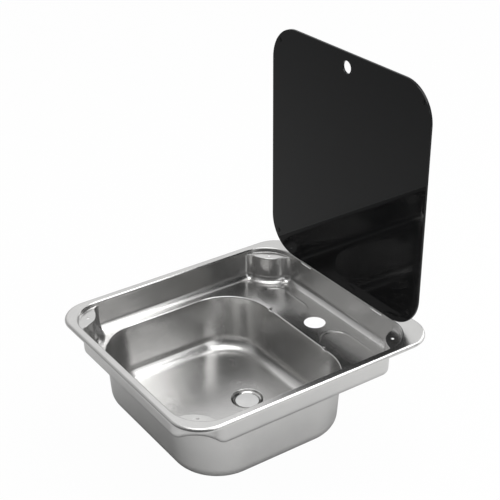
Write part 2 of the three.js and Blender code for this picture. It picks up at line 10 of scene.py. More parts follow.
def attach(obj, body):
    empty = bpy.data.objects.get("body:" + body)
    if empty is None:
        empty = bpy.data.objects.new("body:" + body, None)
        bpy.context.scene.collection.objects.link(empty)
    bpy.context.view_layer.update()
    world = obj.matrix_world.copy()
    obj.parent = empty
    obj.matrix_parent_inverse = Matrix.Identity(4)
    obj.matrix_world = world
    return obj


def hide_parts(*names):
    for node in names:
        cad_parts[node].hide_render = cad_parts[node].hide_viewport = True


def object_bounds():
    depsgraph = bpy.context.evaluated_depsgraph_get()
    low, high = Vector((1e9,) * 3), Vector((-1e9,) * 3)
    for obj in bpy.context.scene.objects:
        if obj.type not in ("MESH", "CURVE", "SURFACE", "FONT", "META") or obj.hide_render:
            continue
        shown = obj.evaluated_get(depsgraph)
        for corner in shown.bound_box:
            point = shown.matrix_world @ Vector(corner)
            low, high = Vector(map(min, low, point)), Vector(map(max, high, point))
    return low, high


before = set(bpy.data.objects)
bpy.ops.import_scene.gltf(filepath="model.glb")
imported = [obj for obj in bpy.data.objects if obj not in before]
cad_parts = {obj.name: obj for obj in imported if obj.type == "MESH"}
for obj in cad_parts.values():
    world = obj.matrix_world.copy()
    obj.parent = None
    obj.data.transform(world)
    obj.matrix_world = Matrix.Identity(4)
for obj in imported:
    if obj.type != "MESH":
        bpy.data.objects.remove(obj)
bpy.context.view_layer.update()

# ---------------------------------------------------------------- the pressing
# The sink is one deep-drawn stainless sheet: a flange with a turned-down edge, a recess with a
# shelf in each corner for the lid, a tray with the tap ledge and two soap dishes, and the bowl
# with the pressed seat of the drain. It hangs in the worktop by the foot of its flange.
MM = 0.001                             # sizes are drawn in millimetres
SHEET = 0.8
FLANGE_TOP = 5.4                       # flange's top plane above the worktop; depths count from it
FLANGE = (200.0, -222.5, 222.5, 50.0)  # half width, front, rear, corner radius
FLANGE_ROLL = 5.0
FLANGE_FLAT = FLANGE_ROLL + 0.6        # where the flat top begins, in from the flange's edge
WALL = (185.4, -208.8, 191.2, 55.4)    # the opening and the tray's walls below it, as for FLANGE
BEND = 3.0
BEND_EDGE = BEND + 0.5                 # where the flat top ends, out from the walls
SHELF_DEPTH = 7.5
SHELF_FILLET = 1.5
SHELF_LIP = 1.5
SHELF_REACH = 62.0                     # no shelf goes further than this from the square corner
BULGE = 47.0                           # shelf's inner edge, from the opening's square corner
BULGE_ROOT = 15.0
SCREW_HOLE = (25.5, 2.5)               # distance from both walls, radius
LEDGE_DEPTH = 51.5
TRAY_FILLET = 13.0
TRAY_DRAFT = 0.03
BOWL = (165.0, -184.0, 105.5, 80.0)    # its opening in the ledge, as for FLANGE
BOWL_RIM = 2.0
BOWL_RIM_EDGE = BOWL_RIM + 0.5         # where the flat ledge ends, out from the bowl's walls
BOWL_DEPTH = 145.4
BOWL_FILLET = 24.0
BOWL_DRAFT = 0.06
FLOOR_FALL = 1.2
TAP = (0.0, 142.0, 17.5)               # centre and radius of the hole for the tap
DISH_ENDS = (59.0, 111.0)              # centres of one dish's round ends, from the sink's middle
DISH_Y = 140.0
DISH_RADIUS = 26.5
DISH_SLOPE = [(0.0, 0.15, 0.3, 0.9, 1.1, 1.3), (0.0, 0.08, 0.35, 2.15, 2.42, 2.5)]  # inward, down
SPOUT = (65.0, 78.0)                   # the sides of the dish's run-out over the bowl's rim
SPOUT_CORNER = 2.0
SPOUT_FRONT = 80.0                     # its end, over the bowl
DRAIN = (0.0, 8.0)
DRAIN_RIM = 25.5
DRAIN_EDGE = DRAIN_RIM + 2             # where the bowl's sloping floor ends
DRAIN_FLOOR = 23.2                     # outer radius of the seat's flat ring
DRAIN_DEPTH = 4.6
DRAIN_HOLE = 20.1
NOTCHES = [(-103.4, -76.6), (76.6, 103.4)]  # from and to, along the rear bend
NOTCH_REAR = 195.4
NOTCH_FOOT = 4.95
REAR_SIDE = 190.0                      # only the rear wall and its bend lie behind this
CORNERS = [(1, -1), (1, 1), (-1, 1), (-1, -1)]


def arc(cx, cy, radius, start, end, steps):
    """Points along an arc between two angles in degrees, with both ends."""
    angles = np.radians(np.linspace(start, end, steps + 1))
    return np.stack([cx + radius * np.cos(angles), cy + radius * np.sin(angles)], 1)


def circle(cx, cy, radius, steps=96):
    """Points round a circle, without the first one again at the end."""
    return arc(cx, cy, radius, 0, 360, steps)[:-1]


def rounded_rect(half_x, y0, y1, radius, steps):
    """Anticlockwise from the right front corner."""
    return np.vstack([
        arc(half_x - radius, y0 + radius, radius, -90, 0, steps),
        arc(half_x - radius, y1 - radius, radius, 0, 90, steps),
        arc(radius - half_x, y1 - radius, radius, 90, 180, steps),
        arc(radius - half_x, y0 + radius, radius, 180, 270, steps),
    ])


def flange_row(inset):
    """The flange's outline, brought in by the inset."""
    half_x, y0, y1, radius = FLANGE
    return rounded_rect(half_x - inset, y0 + inset, y1 - inset, radius - inset, 36)


def round_the_walls(corner, inset):
    """The four corners in order, with the edges of the hinge notches on the rear side."""
    half_x, y0, y1, _ = WALL
    rows = []
    for sx, sy in CORNERS:
        wall_y = y0 if sy < 0 else y1
        placed = np.stack([sx * (half_x - corner[:, 0]), wall_y - sy * corner[:, 1]], 1)
        rows.append(placed if sx * sy < 0 else placed[::-1])
        if (sx, sy) == (1, 1):
            notch_x = sorted((x for notch in NOTCHES for x in notch), reverse=True)
            rows.append(np.array([[x, y1 - inset] for x in notch_x]))
    return np.vstack(rows)


def bulge_side(inset, bulge):
    """Where the bulge's root leaves the wall, from the opening's square corner."""
    return math.sqrt((BULGE + bulge + BULGE_ROOT - inset) ** 2 - BULGE_ROOT ** 2)


def tray_row(inset, bulge=None):
    """The tray's walls with a bulge in each corner, which can move by itself."""
    bulge = inset if bulge is None else bulge
    reach, root = BULGE + bulge, BULGE_ROOT - inset
    side = bulge_side(inset, bulge)
    lean = math.degrees(math.asin(BULGE_ROOT / (reach + root)))
    return round_the_walls(np.vstack([
        arc(side, BULGE_ROOT, root, 270, 180 + lean, 10)[:-1],
        arc(0, 0, reach, lean, 90 - lean, 36)[:-1],
        arc(BULGE_ROOT, side, root, 270 - lean, 180, 10),
    ]), inset)


def opening_row(inset, fillet=0.0):
    """The opening over the shelves; its fillet fades out in the end fifths of each corner."""
    radius = WALL[3]
    along = np.linspace(0, 1, 37)
    ease = np.clip(np.minimum(along, 1 - along) / 0.2, 0, 1)
    reach = radius - inset - fillet * ease * ease * (3 - 2 * ease)
    angles = np.radians(270 - 90 * along)
    corner = np.stack([radius + reach * np.cos(angles), radius + reach * np.sin(angles)], 1)
    side = bulge_side(0, -SHELF_LIP)
    return round_the_walls(np.vstack([[side, inset], corner, [inset, side]]), inset)


# Points along one half of the bowl's rear rim, close together at the sides of the dish's spout.
RIM_POINTS = np.array([
    80.0, 78.5, 78.0, 77.7, 77.4, 77.1, 76.8, 66.2, 65.9, 65.6, 65.3, 65.0, 64.5, 63.0, 40.0,
])


def bowl_row(inset):
    """The bowl's outline, anticlockwise from its right front corner."""
    half_x, y0, y1, radius = BOWL
    reach = radius - inset
    turn = np.radians(np.linspace(0, 90, 41))
    quarter = np.stack([reach * np.cos(turn), reach * np.sin(turn)], 1)
    rear = [[x, y1 - inset] for x in [*RIM_POINTS, 0, *-RIM_POINTS[::-1]]]
    cx, front, back = half_x - radius, y0 + radius, y1 - radius
    return np.vstack([
        quarter[::-1] * [1, -1] + [cx, front],
        quarter + [cx, back],
        rear,
        quarter[::-1] * [-1, 1] + [-cx, back],
        quarter * [-1, -1] + [-cx, front],
    ])


# One dish, right of the tap, with its spout over the bowl's rim; the left one mirrors it.
dish_front = DISH_Y - DISH_RADIUS - SPOUT_CORNER
DISH_EDGE = np.vstack([
    [[SPOUT[0], SPOUT_FRONT]],
    arc(SPOUT[0] - SPOUT_CORNER, dish_front, SPOUT_CORNER, 0, 90, 5),
    arc(DISH_ENDS[0], DISH_Y, DISH_RADIUS, 270, 90, 40),
    arc(DISH_ENDS[1], DISH_Y, DISH_RADIUS, 90, -90, 40),
    arc(SPOUT[1] + SPOUT_CORNER, dish_front, SPOUT_CORNER, 90, 180, 5),
    [[SPOUT[1], SPOUT_FRONT]],
])


def within(points, outline):
    """Which points lie inside a closed outline."""
    start = np.asarray(outline, float)
    end = np.roll(start, -1, 0)
    inside = np.zeros(len(points), bool)
    for (x0, y0), (x1, y1) in zip(start, end):
        if y0 != y1:
            crosses = (points[:, 1] < y0) != (points[:, 1] < y1)
            inside ^= crosses & (points[:, 0] < x0 + (x1 - x0) * (points[:, 1] - y0) / (y1 - y0))
    return inside


def dish_depth(points):
    """How deep the soap dishes are under these ledge points."""
    place = np.stack([np.abs(points[:, 0]), points[:, 1]], 1)
    side = np.roll(DISH_EDGE, -1, 0) - DISH_EDGE
    offset = place[:, None] - DISH_EDGE[None]
    share = np.clip((offset * side).sum(2) / (side * side).sum(1), 0, 1)
    near = np.linalg.norm(offset - share[..., None] * side, axis=2).min(1)
    return np.where(within(place, DISH_EDGE), np.interp(near, *DISH_SLOPE), 0.0)


class Sheet:
    """Collects the rows and the flat fields of one skin, all in millimetres."""

    def __init__(self):
        self.points, self.faces, self.count = [], [], 0

    def add(self, points, faces):
        self.points.append(np.asarray(points, float))
        self.faces += [[self.count + i for i in face] for face in faces]
        self.count += len(points)

    def rows(self, rows, skip=None):
        """Closed rows of equal length, each (outline, height); skip leaves out single quads."""
        size = len(rows[0][0])
        heights = [np.broadcast_to(np.asarray(z, float), (size,)) for _, z in rows]
        points = np.vstack([np.column_stack([row, z]) for (row, _), z in zip(rows, heights)])
        quads = []
        for low in range(0, (len(rows) - 1) * size, size):
            for i in range(size):
                j = (i + 1) % size
                quad = [low + i, low + j, low + size + j, low + size + i]
                if skip is None or not skip(points[quad]):
                    quads.append(quad)
        self.add(points, quads)

    def field(self, outer, holes, height, inner_points=()):
        """A field between outlines, with loose points inside to shape it."""
        points, edges = [], []
        for loop in [outer, *holes]:
            first = len(points)
            points += [Vector(p) for p in loop]
            edges += [(first + i, first + (i + 1) % len(loop)) for i in range(len(loop))]
        points += [Vector(p) for p in inner_points]
        made = delaunay_2d_cdt(points, edges, [], 0, 1e-5)
        flat = np.array([tuple(p) for p in made[0]])
        middles = np.array([flat[list(face)].mean(0) for face in made[2]])
        keep = within(middles, outer)
        for hole in holes:
            keep &= ~within(middles, hole)
        faces = [list(face) for face, kept in zip(made[2], keep) if kept]
        self.add(np.column_stack([flat, height(flat)]), faces)

    def mesh(self, name, lift=FLANGE_TOP):
        """The welded skin in metres, its heights counted from the flange's top."""
        points = (np.vstack(self.points) + [0, 0, lift]) * MM
        skin = bmesh.new()
        verts = [skin.verts.new(p) for p in points]
        for face in self.faces:
            skin.faces.new([verts[i] for i in face])
        bmesh.ops.remove_doubles(skin, verts=skin.verts, dist=2e-6)
        bmesh.ops.dissolve_degenerate(skin, edges=skin.edges, dist=1e-6)
        loose = [v for v in skin.verts if not v.link_faces]
        bmesh.ops.delete(skin, geom=loose, context="VERTS")
        mesh = bpy.data.meshes.new(name)
        skin.to_mesh(mesh)
        skin.free()
        return mesh


def level(z):
    """A field's height where it is flat."""
    return lambda points: np.full(len(points), float(z))


def quarter_turn(steps):
    """Even steps from 0 to 90 degrees, in radians."""
    return np.linspace(0, math.pi / 2, steps + 1)


pressing = Sheet()

# The turned-down edge and the roll up to the flange's top.
pressing.rows([(flange_row(0), -FLANGE_TOP)] + [
    (flange_row(FLANGE_ROLL * (1 - math.cos(a))), FLANGE_ROLL * (math.sin(a) - 1))
    for a in quarter_turn(8)
] + [(flange_row(FLANGE_FLAT), 0)])

# The flange's top, cut back behind each hinge.
opening_edge = opening_row(-BEND_EDGE)
flange_hole = []
for here, after in zip(opening_edge, np.roll(opening_edge, -1, 0)):
    flange_hole.append(here)
    ends = {round(here[0], 1), round(after[0], 1)}
    if here[1] > REAR_SIDE and any(ends == set(notch) for notch in NOTCHES):
        flange_hole += [(here[0], NOTCH_REAR), (after[0], NOTCH_REAR)]
pressing.field(flange_row(FLANGE_FLAT), [flange_hole], level(0))


def in_notch(quad):
    """Whether a quad lies where a hinge notch is cut through the bend and the wall."""
    x, y, z = quad.mean(0)
    return y > REAR_SIDE and z > -NOTCH_FOOT and any(low < x < high for low, high in NOTCHES)


# The bend into the opening, and the wall with its fillet down to the corner shelves.
pressing.rows([(opening_edge, 0)] + [
    (opening_row(-BEND * (1 - math.sin(a))), -BEND * (1 - math.cos(a))) for a in quarter_turn(8)
] + [(opening_row(0), -NOTCH_FOOT)] + [
    (opening_row(0, SHELF_FILLET * (1 - math.cos(a))),
     SHELF_FILLET * (1 - math.sin(a)) - SHELF_DEPTH)
    for a in np.radians([0, 38.3, 60, 75, 90])
], in_notch)

# The four shelves, each with its screw hole.
shelf_outer = opening_row(0, SHELF_FILLET)
shelf_inner = tray_row(0, -SHELF_LIP)
hole_in, hole_radius = SCREW_HOLE
for sx, sy in CORNERS:
    corner = np.array([sx * WALL[0], WALL[1] if sy < 0 else WALL[2]])
    outer, inner = (
        row[np.linalg.norm(row - corner, axis=1) < SHELF_REACH]
        for row in (shelf_outer, shelf_inner)
    )
    hole = circle(corner[0] - sx * hole_in, corner[1] - sy * hole_in, hole_radius, 32)
    pressing.field(np.vstack([outer, inner[::-1][1:-1]]), [hole], level(-SHELF_DEPTH))


def tray_inset(z):
    """How far the tray's draft brings its walls in at this height."""
    return TRAY_DRAFT * (-SHELF_DEPTH - z)


# The tray: the shelf's lip, the wall, and the fillet down to the ledge.
tray_rows = []
for a in quarter_turn(5)[::-1]:
    z = -SHELF_DEPTH - SHELF_LIP + SHELF_LIP * math.sin(a)
    row = tray_row(tray_inset(z), tray_inset(z) - SHELF_LIP * (1 - math.cos(a)))
    tray_rows.append((row, z))
fillet_top = TRAY_FILLET - LEDGE_DEPTH
for a in quarter_turn(10):
    inset = tray_inset(fillet_top) + TRAY_FILLET * (1 - math.cos(a))
    tray_rows.append((tray_row(inset), fillet_top - TRAY_FILLET * math.sin(a)))
tray_foot = tray_inset(fillet_top) + TRAY_FILLET
ledge_edge = tray_row(tray_foot + 0.5)
tray_rows.append((ledge_edge, -LEDGE_DEPTH))
pressing.rows(tray_rows)

# The ledge is flat, but for the soap dishes, which run out over the bowl's rim. Loose points
# follow each dish's edge in close lines, so that its slope comes out even, and a wide grid fills
# the rest.
DISH_MARKS = 340                       # points in each of the lines round a dish
DISH_LINES = (-0.35, 0.0, 0.15, 0.3, 0.6, 0.9, 1.1, 1.3, 1.7)  # inward from its edge
GRID = 7.0
GRID_END = (172, 105, 180)             # right, front, rear
DOTS_IN = 1.0                          # the points keep this far from the tray's wall,
DOTS_OFF_BOWL = BOWL_RIM + 0.7         # this far from the bowl's,
DOTS_OFF_TAP = TAP[2] + 1              # and this far from the middle of the tap hole

rim_top = bowl_row(-BOWL_RIM_EDGE)
steps = np.linalg.norm(np.diff(DISH_EDGE, axis=0), axis=1)
walk = np.concatenate([[0], np.cumsum(steps)])
marks = np.linspace(0, walk[-1], DISH_MARKS)
line = np.stack([np.interp(marks, walk, DISH_EDGE[:, k]) for k in (0, 1)], 1)
tangent = np.gradient(line, axis=0)
tangent /= np.linalg.norm(tangent, axis=1)[:, None]
inward = np.stack([tangent[:, 1], -tangent[:, 0]], 1)
grid_x, grid_y = np.meshgrid(
    np.arange(GRID / 2, GRID_END[0], GRID), np.arange(GRID_END[1], GRID_END[2], GRID),
)
grid = np.stack([grid_x.ravel(), grid_y.ravel()], 1)
dots = np.vstack([line + inward * offset for offset in DISH_LINES] + [grid])
dots = np.vstack([dots, dots * [-1, 1]])
room = within(dots, tray_row(tray_foot + DOTS_IN)) & ~within(dots, bowl_row(-DOTS_OFF_BOWL))
room &= np.linalg.norm(dots - TAP[:2], axis=1) > DOTS_OFF_TAP
pressing.field(
    ledge_edge, [rim_top, circle(*TAP)],
    lambda points: -LEDGE_DEPTH - dish_depth(points), dots[room],
)


def bowl_inset(z):
    """How far the bowl's draft brings its walls in at this height."""
    return BOWL_DRAFT * (-LEDGE_DEPTH - z)


# The bowl: its rounded rim, the wall, the fillet and the floor's edge.
bowl_rows = [(rim_top, -LEDGE_DEPTH - dish_depth(rim_top))]
for a in quarter_turn(7)[::-1]:
    z = -LEDGE_DEPTH - BOWL_RIM + BOWL_RIM * math.sin(a)
    row = bowl_row(bowl_inset(z) - BOWL_RIM * (1 - math.cos(a)))
    bowl_rows.append((row, z - dish_depth(rim_top)))
bowl_fillet_top = BOWL_FILLET - BOWL_DEPTH
for z in np.linspace(-LEDGE_DEPTH - BOWL_RIM, bowl_fillet_top, 6)[1:-1]:
    bowl_rows.append((bowl_row(bowl_inset(z)), z))
for a in quarter_turn(16):
    inset = bowl_inset(bowl_fillet_top) + BOWL_FILLET * (1 - math.cos(a))
    bowl_rows.append((bowl_row(inset), bowl_fillet_top - BOWL_FILLET * math.sin(a)))
bowl_foot = bowl_inset(bowl_fillet_top) + BOWL_FILLET
floor_edge = bowl_row(bowl_foot + 1.0)
bowl_rows.append((floor_edge, -BOWL_DEPTH))
pressing.rows(bowl_rows)

# The floor falls evenly from all sides to the drain.
FLOOR_RINGS = (12, 9)                  # how many, and how far apart
RINGS_IN = 4.0                         # they keep this far from the foot of the bowl's fillet

floor_low = circle(*DRAIN, DRAIN_EDGE)
edge_angle = np.arctan2(floor_edge[:, 1] - DRAIN[1], floor_edge[:, 0] - DRAIN[0])
edge_reach = np.linalg.norm(floor_edge - DRAIN, axis=1)
by_angle = np.argsort(edge_angle)


def floor_height(points):
    """The floor's height, by how far a point lies from the drain towards the bowl's fillet."""
    angle = np.arctan2(points[:, 1] - DRAIN[1], points[:, 0] - DRAIN[0])
    far = np.interp(angle, edge_angle[by_angle], edge_reach[by_angle], period=2 * math.pi)
    reach = np.linalg.norm(points - DRAIN, axis=1)
    share = np.clip((reach - DRAIN_EDGE) / (far - DRAIN_EDGE), 0, 1)
    return -BOWL_DEPTH - FLOOR_FALL * (1 - share)


count, apart = FLOOR_RINGS
rings = np.vstack([
    circle(*DRAIN, DRAIN_EDGE + apart * k, 64 + 8 * k) for k in range(1, count + 1)
])
rings = rings[within(rings, bowl_row(bowl_foot + RINGS_IN))]
pressing.field(floor_edge, [floor_low], floor_height, rings)

# The seat of the drain: a small round rim, a conical wall and a flat ring round the hole.
RIM_ROUND = [  # outward from the rim, down
    (1.0, 0.0), (0.75, 0.03), (0.5, 0.12), (0.3, 0.28), (0.12, 0.5), (0.0, 0.8), (-0.2, 1.15),
]
FOOT_ROUND = [  # outward from the flat ring, up
    (0.55, 1.0), (0.3, 0.6), (0.1, 0.3), (-0.15, 0.12), (-0.5, 0.03), (-0.9, 0.0),
]

drain_top = -BOWL_DEPTH - FLOOR_FALL
drain_floor = drain_top - DRAIN_DEPTH
pressing.rows([(floor_low, drain_top)] + [
    (circle(*DRAIN, DRAIN_RIM + out), drain_top - down) for out, down in RIM_ROUND
] + [
    (circle(*DRAIN, DRAIN_FLOOR + out), drain_floor + up) for out, up in FOOT_ROUND
] + [(circle(*DRAIN, DRAIN_HOLE), drain_floor)])


def smooth(obj, sharp=40):
    """Shades a piece smooth, except over edges that turn by more degrees than this."""
    obj.data.polygons.foreach_set("use_smooth", [True] * len(obj.data.polygons))
    obj.data.set_sharp_from_angle(angle=math.radians(sharp))


def thickened(obj, thickness, sharp):
    """Gives a skin its gauge on the side away from its normals, and keeps its cut edges crisp."""
    solid = obj.modifiers.new("gauge", "SOLIDIFY")
    solid.thickness = thickness
    solid.offset = -1
    solid.use_even_offset = True
    graph = bpy.context.evaluated_depsgraph_get()
    made = bpy.data.meshes.new_from_object(obj.evaluated_get(graph))
    obj.modifiers.clear()
    obj.data = made
    smooth(obj, sharp)


def shown(name, mesh, material, body, nodes):
    """Links a piece, gives it its finish, and lets it stand for its nodes on their body."""
    obj = bpy.data.objects.new(name, mesh)
    bpy.context.scene.collection.objects.link(obj)
    obj.data.materials.clear()
    obj.data.materials.append(material)
    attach(obj, body)
    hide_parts(*nodes)
    return obj


class Wire:
    """A shader socket that can be used in sums."""

    def __init__(self, tree, socket):
        self.tree, self.socket = tree, socket

    def node(self, kind, settings=(), **inputs):
        return make_node(self.tree, kind, settings, **inputs)

    def maths(self, operation, first, second):
        return self.node("ShaderNodeMath", {"operation": operation}, i0=first, i1=second)

    def __add__(self, other):
        return self.maths("ADD", self, other)

    def __sub__(self, other):
        return self.maths("SUBTRACT", self, other)

    def __rsub__(self, other):
        return self.maths("SUBTRACT", other, self)

    def __mul__(self, other):
        return self.maths("MULTIPLY", self, other)

    __radd__, __rmul__ = __add__, __mul__


def make_node(tree, kind, settings=(), **inputs):
    """Makes a node from its type, its settings and its sockets' values or links.

    A socket goes by its name, with _ for a space, or by its number, as in i0. The setting "stops"
    fills a ramp, and "out" picks the output by name or number.
    """
    node = tree.nodes.new(kind)
    for key, value in dict(settings).items():
        if key == "stops":
            ramp = node.color_ramp.elements
            while len(ramp) < len(value):
                ramp.new(0.5)
            for stop, (position, colour) in zip(ramp, value):
                stop.position = position
                stop.color = (*(colour if isinstance(colour, tuple) else [colour] * 3), 1)
        elif key != "out":
            setattr(node, key, value)
    for key, value in inputs.items():
        socket = node.inputs[int(key[1:]) if key[1:].isdigit() else key.replace("_", " ")]
        if isinstance(value, Wire):
            tree.links.new(value.socket, socket)
        else:
            socket.default_value = value
    return Wire(tree, node.outputs[dict(settings).get("out", 0)])


def finish(name, **constants):
    """A material whose constant values sit on the shader's own sockets."""
    material = bpy.data.materials.new(name)
    material.use_nodes = True
    shader = material.node_tree.nodes["Principled BSDF"]
    for key, value in constants.items():
        shader.inputs[key.replace("_", " ")].default_value = value
    place = make_node(material.node_tree, "ShaderNodeTexCoord", {"out": "Object"})
    return material, shader, place


def drive(shader, **wires):
    """Links what changes over the surface to the shader's sockets."""
    for key, wire in wires.items():
        wire.tree.links.new(wire.socket, shader.inputs[key.replace("_", " ")])


# Satin stainless steel: a fine even grain from the rolled sheet, and a very faint cloudiness
# where the drawing has stretched it.
steel, shader, place = finish("satin_stainless", Metallic=1.0, Roughness=0.24)
grain = place.node("ShaderNodeTexNoise", Vector=place, Scale=900.0, Detail=3.0, Roughness=0.6)
cloud = place.node("ShaderNodeTexNoise", Vector=place, Scale=14.0, Detail=4.0, Roughness=0.55)
tint = place.node(
    "ShaderNodeValToRGB", {"stops": [(0.3, (0.60, 0.597, 0.59)), (0.7, (0.66, 0.656, 0.648))]},
    Fac=cloud,
)
bump = place.node("ShaderNodeBump", Strength=0.05, Distance=0.0004, Height=grain)
drive(shader, Base_Color=tint, Roughness=0.19 + cloud * 0.08 + grain * 0.05, Normal=bump)

skin = pressing.mesh("sink_sheet")
sink = shown("sink_sheet", skin, steel, "sink", ["sink_pressing"])
thickened(sink, SHEET * MM, 50)

# ---------------------------------------------------------------- sealing strip
# A strip of dark closed-cell foam, stuck round the underside of the flange. It is pressed flat
# on the worktop, flush with the foot of the turned-down edge.
STRIP = (5.0, 10.5)                    # outer and inner edge, in from the flange's edge
STRIP_TOP = -1.1
STRIP_EDGE = 0.4                       # its edges are broken by this much

strip = Sheet()
outer, inner = STRIP
strip.rows([(flange_row(inset), z) for inset, z in [
    (outer, -FLANGE_TOP), (outer, STRIP_TOP - STRIP_EDGE), (outer + STRIP_EDGE, STRIP_TOP),
    (inner - STRIP_EDGE, STRIP_TOP), (inner, STRIP_TOP - STRIP_EDGE),
    (inner, STRIP_EDGE - FLANGE_TOP), (inner - STRIP_EDGE, -FLANGE_TOP), (outer, -FLANGE_TOP),
]])

foam, shader, place = finish("black_foam", Roughness=0.95)
cells = place.node("ShaderNodeTexVoronoi", Vector=place, Scale=1500.0)
shade = place.node("ShaderNodeValToRGB", {"stops": [(0.0, 0.012), (1.0, 0.05)]}, Fac=cells)
pores = place.node("ShaderNodeBump", Strength=0.4, Distance=0.0003, Height=cells)
drive(shader, Base_Color=shade, Normal=pores)

skin = strip.mesh("sealing_strip")
smooth(shown("sealing_strip", skin, foam, "sink", ["flange_sealing_strip"]))

# ---------------------------------------------------------------- lid
# A pane of dark toughened glass with ground and polished edges and a finger hole near its front
# edge. Open, it stands upright over the rear wall, its inner face towards the bowl.
GLASS = (182.2, 388.5, 4.0, 56.8)      # half width, height, thickness, corner radius
GLASS_FOOT = 2.5                       # lower edge above the flange
GLASS_FACE = 189.3                     # inner face
GLASS_BEVEL = 0.3
GLASS_EDGE = [(GLASS_BEVEL, 0.0), (0.1, 0.08), (0.0, 0.35)]  # the ground edge: inset, depth
FINGER_HOLE = (366.1, 9.7)             # height above the lower edge, radius

half, tall, thick, radius = GLASS


def pane_row(inset):
    """The pane's outline, brought in by the inset."""
    return rounded_rect(half - inset, inset, tall - inset, radius - inset, 40)


def hole_row(inset):
    """The finger hole's outline, widened by the inset."""
    return circle(0, FINGER_HOLE[0], FINGER_HOLE[1] + inset, 64)


# The pane is drawn lying flat, its lower edge on the X axis.
pane = Sheet()
ground = GLASS_EDGE + [(inset, thick - depth) for inset, depth in GLASS_EDGE[::-1]]
pane.rows([(pane_row(inset), depth) for inset, depth in ground])
pane.rows([(hole_row(inset)[::-1], depth) for inset, depth in ground])
pane.field(pane_row(GLASS_BEVEL), [hole_row(GLASS_BEVEL)], level(thick))
top_faces = len(pane.faces)
pane.field(pane_row(GLASS_BEVEL), [hole_row(GLASS_BEVEL)], level(0))
pane.faces[top_faces:] = [face[::-1] for face in pane.faces[top_faces:]]

# Y and Z change places to stand it up, which also turns its faces inside out.
upright = Matrix(((1, 0, 0), (0, 0, 1), (0, 1, 0))).to_4x4()
skin = pane.mesh("smoked_lid", 0.0)
skin.transform(Matrix.Translation(Vector((0, GLASS_FACE, GLASS_FOOT + FLANGE_TOP)) * MM) @ upright)
skin.flip_normals()

glass, shader, place = finish("smoked_glass", Roughness=0.02, Specular_IOR_Level=0.17)
haze = place.node("ShaderNodeTexNoise", Vector=place, Scale=6.0, Detail=2.0)
tone = place.node(
    "ShaderNodeValToRGB",
    {"stops": [(0.3, (0.0045, 0.0048, 0.0052)), (0.7, (0.0055, 0.0058, 0.0064))]}, Fac=haze,
)
drive(shader, Base_Color=tone, Roughness=haze * 0.02 + 0.01)

lid = shown("smoked_lid", skin, glass, "lid", ["glass_lid"])
smooth(lid, 30)
for face in lid.data.polygons:         # the two faces of float glass are truly flat
    face.use_smooth = abs(face.normal.y) < 0.999

# ---------------------------------------------------------------- buffers
# Four clear soft buttons stuck to the inner face near its corners. They land on the corner
# shelves when the lid is down.
BUFFER = [(0.0, 0.6), (3.2, 0.6), (3.6, 0.55), (3.85, 0.4), (3.97, 0.2), (4.0, 0.0), (0.0, 0.0)]
BUFFER_GLUE = 0.1                      # between the button and the glass
BUFFER_X = 164.3
BUFFER_HEIGHTS = {"rear": 33.5, "front": 366.5}


def turned(profile, steps=48, closed=False):
    """A lathe-turned body about Z, from (radius, height) points, in metres."""
    body = bmesh.new()
    points = list(profile) + ([profile[0]] if closed else [])
    rings = []
    for reach, z in points:
        if reach == 0:
            rings.append([body.verts.new((0, 0, z * MM))] * steps)
        else:
            around = circle(0, 0, reach, steps)
            rings.append([body.verts.new((x * MM, y * MM, z * MM)) for x, y in around])
    for low, high in zip(rings, rings[1:]):
        for i in range(steps):
            j = (i + 1) % steps
            corners = list(dict.fromkeys([low[i], low[j], high[j], high[i]]))
            if len(corners) > 2:
                body.faces.new(corners)
    bmesh.ops.remove_doubles(body, verts=body.verts, dist=1e-7)
    bmesh.ops.recalc_face_normals(body, faces=body.faces)
    mesh = bpy.data.meshes.new("turned")
    body.to_mesh(mesh)
    body.free()
    return mesh


clear, shader, place = finish("clear_buffer", Roughness=0.45, Specular_IOR_Level=0.15)
speck = place.node("ShaderNodeTexNoise", Vector=place, Scale=400.0, Detail=2.0)
shade = place.node("ShaderNodeValToRGB", {"stops": [(0.3, 0.006), (0.7, 0.010)]}, Fac=speck)
drive(shader, Base_Color=shade)

for row, height in BUFFER_HEIGHTS.items():
    for side, x in (("left", -BUFFER_X), ("right", BUFFER_X)):
        node = f"lid_buffer_{row}_{side}"
        button = turned(BUFFER)
        button.transform(Matrix.Rotation(math.radians(90), 4, "X"))
        place_on_glass = Vector((x, GLASS_FACE - BUFFER_GLUE, height + FLANGE_TOP))
        button.transform(Matrix.Translation(place_on_glass * MM))
        smooth(shown(node + "_button", button, clear, "lid", [node]))

# ---------------------------------------------------------------- hinges
# Each hinge is a satin stainless stamping: a leaf bonded to the outer face of the glass, rolled
# into a knuckle on a pin that lies in the hollow of the rear bend. A washer sits at each side of
# the knuckle, and a bracket holds the pin from below.
LEAF_EDGE = 0.18                       # how much the sharp edges are broken
SMALL_EDGE = 0.12


def stainless(name, roughness):
    """Stamped or turned stainless steel, lightly rubbed."""
    material, shader, place = finish(name, Metallic=1.0, Roughness=roughness)
    rub = place.node("ShaderNodeTexNoise", Vector=place, Scale=700.0, Detail=3.0)
    wear = place.node("ShaderNodeTexNoise", Vector=place, Scale=40.0, Detail=3.0)
    tone = place.node(
        "ShaderNodeValToRGB", {"stops": [(0.3, (0.52, 0.517, 0.51)), (0.7, (0.60, 0.597, 0.59))]},
        Fac=wear,
    )
    scuffs = place.node("ShaderNodeBump", Strength=0.06, Distance=0.0003, Height=rub)
    drive(shader, Base_Color=tone, Roughness=wear * 0.12 + (roughness - 0.06), Normal=scuffs)
    return material


satin = stainless("satin_hinge_steel", 0.34)


